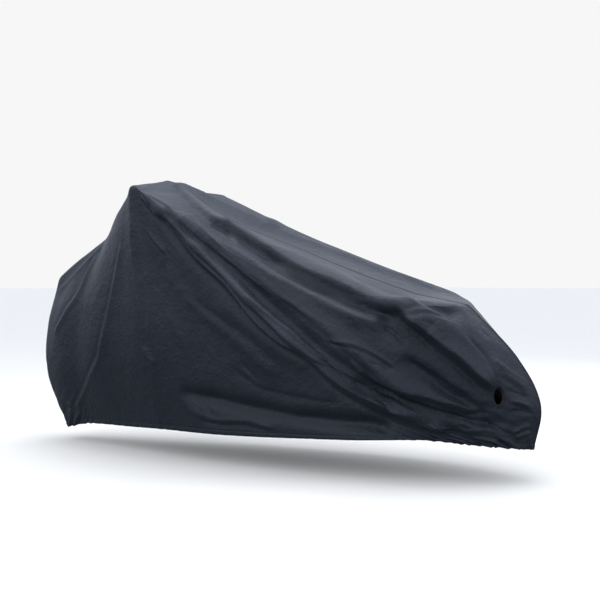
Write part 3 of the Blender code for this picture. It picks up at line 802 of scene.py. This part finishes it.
def seam_path(panel):
    """The seam as one panel has it: points on it, the way into the panel beside it, and the way out."""
    edge = rim(panel.points, 0)
    total = lengths_along(edge)
    lengths = np.linspace(0, total[-1], SEAM_STEPS)
    places = laid_at(edge, total, lengths)
    inward = laid_at(rim(panel.points, 1) - edge, total, lengths)
    out = unit(laid_at(rim(panel.facing, 0), total, lengths))
    run = unit(np.gradient(places, axis=0))
    inward = unit(inward - run * (inward * run).sum(axis=1)[:, None])
    return places, inward, out


def felled_seam(right, left, finish, thread):
    """The seam over the top and down both ends: its two edges folded into each other and sewn flat."""
    places, right_in, right_out = seam_path(right)
    other, left_in, left_out = seam_path(left)
    places = (places + other) / 2
    ease = 1 + 0.25 * waver(lengths_along(places), 0.09, 41)
    strips = []
    for across, high in SEAM_STRIP:
        inward, out = (right_in, right_out) if across < 0 else (left_in, left_out)
        height = (high / 1000 * ease)[:, None] if high > 0 else high / 1000
        strips.append(places + inward * abs(across) / 1000 + out * height)
    grid = np.stack(strips, axis=1)
    strip = new_piece("seam_fell", grid, grid_faces(*grid.shape[:2], -1).tolist(), finish)
    rows = []
    for (away, height), inward, out in zip(SEAM_ROWS, (right_in, left_in), (right_out, left_out)):
        rows.append(places + inward * away + out * height)
    return strip, sewn("seam_stitching", rows, [right_out, left_out], SEAM_STITCH, thread)


def hem_stitching(panel, thread):
    """One row of stitches along the top of the turned hem."""
    column = panel.points.shape[1] - len(HEM_MARKS) + HEM_MARKS.index(HEM_STITCH_ROW)
    out = panel.facing[:, column]
    path = (panel.points[:, column] + panel.points[:, column + 1]) / 2 + out * 0.0003
    return sewn(f"hem_stitching_{panel.name}", [path], [out], HEM_STITCH, thread)


def hole_binding(panel, finish, thread):
    """The lock hole's bound edge, with its ring of stitches."""
    path, outs = hole_edge(panel, 1, HOLE_LIFT)
    binding = bound(f"hole_binding_{panel.name}", path, outs, finish)
    path, outs = hole_edge(panel, HOLE_RING, HOLE_LIFT)
    path = np.concatenate([path, path[:1]])
    outs = np.concatenate([outs, outs[:1]])
    return binding, sewn(f"hole_stitching_{panel.name}", [path], [outs], HOLE_STITCH, thread)


# Finishes


def operator(operation, reflected=False):
    """A method that adds one Math node, with its two sides changed over where it is reflected."""

    def method(self, other=0):
        sides = (other, self) if reflected else (self, other)
        node = self.finish.node("Math", {"operation": operation}, dict(enumerate(sides)))
        return Value(self.finish, node.outputs[0])

    return method


class Value:
    """One socket of a finish. Arithmetic on it adds the finish's Math nodes."""

    def __init__(self, finish, socket):
        self.finish = finish
        self.socket = socket

    __add__ = __radd__ = operator("ADD")
    __sub__ = operator("SUBTRACT")
    __rsub__ = operator("SUBTRACT", reflected=True)
    __mul__ = __rmul__ = operator("MULTIPLY")
    __abs__ = operator("ABSOLUTE")
    sine = operator("SINE")

    def ranged(self, low, high, to_low=0, to_high=1):
        sockets = {"Value": self, "From Min": low, "From Max": high, "To Min": to_low, "To Max": to_high}
        node = self.finish.node("MapRange", {"interpolation_type": "SMOOTHSTEP"}, sockets)
        return Value(self.finish, node.outputs["Result"])


class Finish:
    """A material, built node by node."""

    def __init__(self, name, owner=None):
        self.owner = owner or bpy.data.materials.new(name)
        self.owner.use_nodes = True
        self.nodes = self.owner.node_tree.nodes
        self.links = self.owner.node_tree.links
        self.shader = self.nodes["Background" if owner else "Principled BSDF"]

    def node(self, kind, settings=None, sockets=None):
        """A node of that type, with its settings made first and then its sockets' values or links."""
        node = self.nodes.new("ShaderNode" + kind)
        for key, value in (settings or {}).items():
            setattr(node, key, value)
        self.fill(node, sockets or {})
        return node

    def fill(self, node, sockets):
        for key, value in sockets.items():
            if isinstance(value, Value):
                self.links.new(value.socket, node.inputs[key])
            else:
                node.inputs[key].default_value = value

    def value(self, node, output=0):
        return Value(self, node.outputs[output])

    def place(self):
        """The point on the cloth, in metres."""
        return self.value(self.node("TexCoord"), "Object")

    def stretched(self, place, scale):
        return self.value(self.node("VectorMath", {"operation": "MULTIPLY"}, {0: place, 1: scale}))

    def cloudy(self, place, scale, detail=2, roughness=0.5):
        sockets = {"Vector": place, "Scale": scale, "Detail": detail, "Roughness": roughness}
        return self.value(self.node("TexNoise", {}, sockets), "Fac")

    def crazed(self, place, scale, wide):
        """Thin lines between cells, 1 on the line and 0 away from it."""
        sockets = {"Vector": place, "Scale": scale * 1.6, "Detail": 3}
        shaken = self.value(self.node("TexNoise", {}, sockets), "Color")
        sockets = {0: shaken, 1: (0.9 / scale,) * 3, 2: place}
        moved = self.node("VectorMath", {"operation": "MULTIPLY_ADD"}, sockets)
        sockets = {"Vector": self.value(moved), "Scale": scale}
        cells = self.node("TexVoronoi", {"feature": "DISTANCE_TO_EDGE"}, sockets)
        return 1 - self.value(cells, "Distance").ranged(0, wide)

    def toned(self, share, first, second):
        """A colour between two, by share. Each is three numbers or a colour made before."""
        sides = [side if isinstance(side, Value) else (*side, 1) for side in (first, second)]
        sockets = {0: share, 6: sides[0], 7: sides[1]}
        return self.value(self.node("Mix", {"data_type": "RGBA"}, sockets), 2)

    def raised(self, height):
        """A normal from a height in metres."""
        sockets = {"Strength": 1, "Distance": 1, "Height": height}
        return self.value(self.node("Bump", {}, sockets))

    def finished(self, **sockets):
        self.fill(self.shader, {key.replace("_", " "): value for key, value in sockets.items()})
        return self.owner


def parts_of(finish, vector):
    node = finish.node("SeparateXYZ", {}, {0: vector})
    return [finish.value(node, axis) for axis in range(3)]


def woven(finish, pitch):
    """Height and slub of a plain weave whose threads run ahead and across the cloth."""
    place = finish.place()
    x, y, z = parts_of(finish, place)
    normal = finish.value(finish.node("NewGeometry"), "Normal")
    level = abs(parts_of(finish, normal)[2]).ranged(0.55, 0.85)
    across = z * (1 - level) + y * level
    turn = math.tau / pitch
    weave = (x * turn).sine() * (across * turn).sine()
    warp = finish.cloudy(finish.stretched(place, (900, 40, 40)), 1, 1)
    weft = finish.cloudy(finish.stretched(place, (30, 700, 700)), 1, 1)
    return weave, (warp + weft) * 0.5, place


def cover_cloth():
    """Dense coated polyester, navy black, with a low sheen and the creases of storage slightly rubbed."""
    finish = Finish("Cover cloth")
    weave, slub, place = woven(finish, 0.0011)
    crinkle = finish.cloudy(place, 62, 3, 0.55)
    cloud = finish.cloudy(place, 5.5, 3, 0.55)
    rubbed = finish.value(finish.node("Attribute", {"attribute_name": "worn"}), "Fac")
    tone = (cloud * 0.6 + slub * 0.4).ranged(0.3, 0.7)
    colour = finish.toned(tone, (0.01, 0.012, 0.019), (0.014, 0.0165, 0.0255))
    share = rubbed * 0.35 * finish.cloudy(place, 180, 2).ranged(0.4, 0.62)
    faded = finish.toned(share, colour, (0.04, 0.045, 0.06))
    pressed = finish.crazed(place, 13, 0.07) * finish.cloudy(place, 7, 1).ranged(0.42, 0.62)
    small = finish.crazed(place, 34, 0.1) * finish.cloudy(place, 4, 1).ranged(0.45, 0.65)
    soft = finish.cloudy(place, 27, 2, 0.5)
    height = crinkle * 0.0024 + soft * 0.0036 + pressed * 0.0009 + small * 0.0003
    height = height + slub * 0.0001 + weave * 0.00007
    rough = cloud.ranged(0.3, 0.7, 0.52, 0.6) + rubbed * 0.05
    return finish.finished(
        Base_Color=faded,
        Roughness=rough,
        IOR=1.46,
        Specular_Tint=(0.84, 0.92, 1, 1),
        Sheen_Weight=0.05,
        Sheen_Roughness=0.4,
        Sheen_Tint=(0.7, 0.84, 1, 1),
        Normal=finish.raised(height),
    )


def seam_cloth():
    """The same cloth doubled at the seam, where the needle draws it into small puckers."""
    finish = Finish("Seam cloth")
    weave, slub, place = woven(finish, 0.0011)
    pucker = finish.cloudy(place, 210, 2)
    tone = finish.cloudy(place, 40, 2).ranged(0.3, 0.7)
    colour = finish.toned(tone, (0.015, 0.018, 0.029), (0.0215, 0.025, 0.038))
    height = pucker * 0.0008 + slub * 0.0001 + weave * 0.00007
    rough = tone.ranged(0, 1, 0.5, 0.58)
    return finish.finished(Base_Color=colour, Roughness=rough, IOR=1.33, Normal=finish.raised(height))


def patch_cloth():
    """A softer brown-black cloth, with a coarser weave and no coating."""
    finish = Finish("Patch cloth")
    weave, slub, place = woven(finish, 0.0016)
    cloud = finish.cloudy(place, 45, 3)
    tone = (cloud * 0.5 + slub * 0.5).ranged(0.3, 0.7)
    colour = finish.toned(tone, (0.016, 0.011, 0.009), (0.034, 0.023, 0.018))
    height = cloud * 0.0012 + slub * 0.0002 + weave * 0.00014
    rough = cloud.ranged(0.3, 0.7, 0.72, 0.84)
    return finish.finished(Base_Color=colour, Roughness=rough, Normal=finish.raised(height))


def thread_finish():
    """Dark twisted thread."""
    finish = Finish("Thread")
    place = finish.place()
    x, y, z = parts_of(finish, place)
    twist = ((x + y * 0.7 + z) * 9000).sine()
    fuzz = finish.cloudy(place, 900, 1)
    colour = finish.toned(fuzz, (0.016, 0.019, 0.03), (0.032, 0.036, 0.05))
    rough = fuzz.ranged(0.3, 0.7, 0.5, 0.65)
    return finish.finished(Base_Color=colour, Roughness=rough, Normal=finish.raised(twist * 0.00004))


def floor_finish():
    finish = Finish("Pale floor")
    grain = finish.cloudy(finish.place(), 3, 4)
    colour = finish.toned(grain, (0.87, 0.835, 0.775), (0.9, 0.865, 0.8))
    return finish.finished(
        Base_Color=colour,
        Roughness=grain.ranged(0.3, 0.7, 0.85, 0.92),
        Emission_Color=(1, 1, 1, 1),
        Emission_Strength=0.08,
    )


# Setting up the studio

# The tent of soft light: dim below, bright overhead and nearly white behind the cover.
SKY_LOW = 0.22
SKY_HIGH = 0.98
SKY_SEEN = 0.93
# The lamps: each one's place, aim, size, power in watts and colour.
LAMPS = (
    ("Overhead", (0.6, 0.3, 2.6), (0.6, 0, -0.4), (3.4, 2.2), 72, (0.93, 0.97, 1.03)),
    ("Near fill", (-0.4, -4.6, 1.5), (0.4, 0, -0.5), (3.5, 2.5), 40, (1.02, 0.99, 0.97)),
    ("Far fill", (0.8, 4.6, 1.5), (0.4, 0, -0.5), (3.5, 2.5), 20, (1, 0.99, 1)),
)
# The camera in the tables' own axes, its tilt and turn in degrees, its sensor's width in millimetres and
# its focal length as a share of that.
CAMERA_PLACE = (3.29794, -4.00063, 0.816312)
CAMERA_TILT = 1.72
CAMERA_TURN = 28.87
SENSOR = 36
FOCAL_SHARE = 1078 / 600
# How far the floor reaches.
FLOOR_RADIUS = 40


def soft_light(name, place, aim, size, power, colour):
    lamp = bpy.data.lights.new(name, "AREA")
    lamp.shape = "RECTANGLE"
    lamp.size = size[0]
    lamp.size_y = size[1]
    lamp.energy = power
    lamp.color = colour
    light = in_scene(name, lamp)
    light.location = place
    light.rotation_euler = (Vector(aim) - Vector(place)).to_track_quat("-Z", "Y").to_euler()


def studio():
    """The camera, a plain pale floor and soft light, mostly from overhead."""
    lens = bpy.data.cameras.new("Camera")
    lens.sensor_width = SENSOR
    lens.lens = SENSOR * FOCAL_SHARE
    lens.clip_end = 100
    camera = in_scene("Camera", lens)
    camera.location = CAMERA_PLACE - CARRIED
    camera.rotation_euler = Euler((math.radians(90 - CAMERA_TILT), 0, math.radians(CAMERA_TURN)))
    bpy.context.scene.camera = camera

    bpy.ops.mesh.primitive_circle_add(vertices=96, radius=FLOOR_RADIUS, fill_type="NGON")
    floor = bpy.context.object
    floor.name = "floor"
    floor.location = (0.6, 0, -CARRIED[2])
    floor.data.materials.append(floor_finish())
    floor.visible_diffuse = False
    floor.visible_glossy = False

    world = bpy.context.scene.world or bpy.data.worlds.new("Studio")
    bpy.context.scene.world = world
    world.use_nodes = True
    sky = Finish("Studio", world)
    height = parts_of(sky, sky.value(sky.node("TexCoord"), "Generated"))[2]
    seen = sky.value(sky.node("LightPath"), "Is Camera Ray")
    tented = height.ranged(-0.12, 0.12, SKY_LOW, SKY_HIGH)
    tint = sky.toned(seen, (0.88, 0.95, 1.08), (1, 1, 1))
    sky.finished(Color=tint, Strength=tented * (1 - seen) + seen * SKY_SEEN)
    for lamp in LAMPS:
        soft_light(*lamp)
    bpy.context.scene.view_settings.view_transform = "Standard"


def main():
    studio()
    cloth = cover_cloth()
    seam = seam_cloth()
    lining = patch_cloth()
    thread = thread_finish()

    plain = [(fold, np.zeros(3)) for fold in FOLDS]
    right = dress_panel("right", -1, NEAR_MESH, plain, 3)
    random = np.random.default_rng(12)
    shifted = []
    for fold in FOLDS:
        if abs(fold.lift) < FAR_LEAST or fold.name in NEAR_ONLY:
            continue
        lift = fold.lift * random.uniform(*FAR_LIFT)
        wide = random.uniform(*FAR_WIDTH)
        fold = fold._replace(lift=lift, above=fold.above * wide, below=fold.below * wide)
        shifted.append((fold, random.uniform(-FAR_SHIFT, FAR_SHIFT, 3) * (1, 0, 1)))
    shifted += [(fold, np.zeros(3)) for fold in FAR_FOLDS]
    left = dress_panel("left", 1, FAR_MESH, shifted, 8)

    strip, strip_stitches = felled_seam(right, left, seam, thread)
    for panel in (right, left):
        sheet = cut_panel(panel, cloth)
        hem = hem_stitching(panel, thread)
        binding, ring = hole_binding(panel, seam, thread)
        patch = lock_patch(panel, lining)


main()
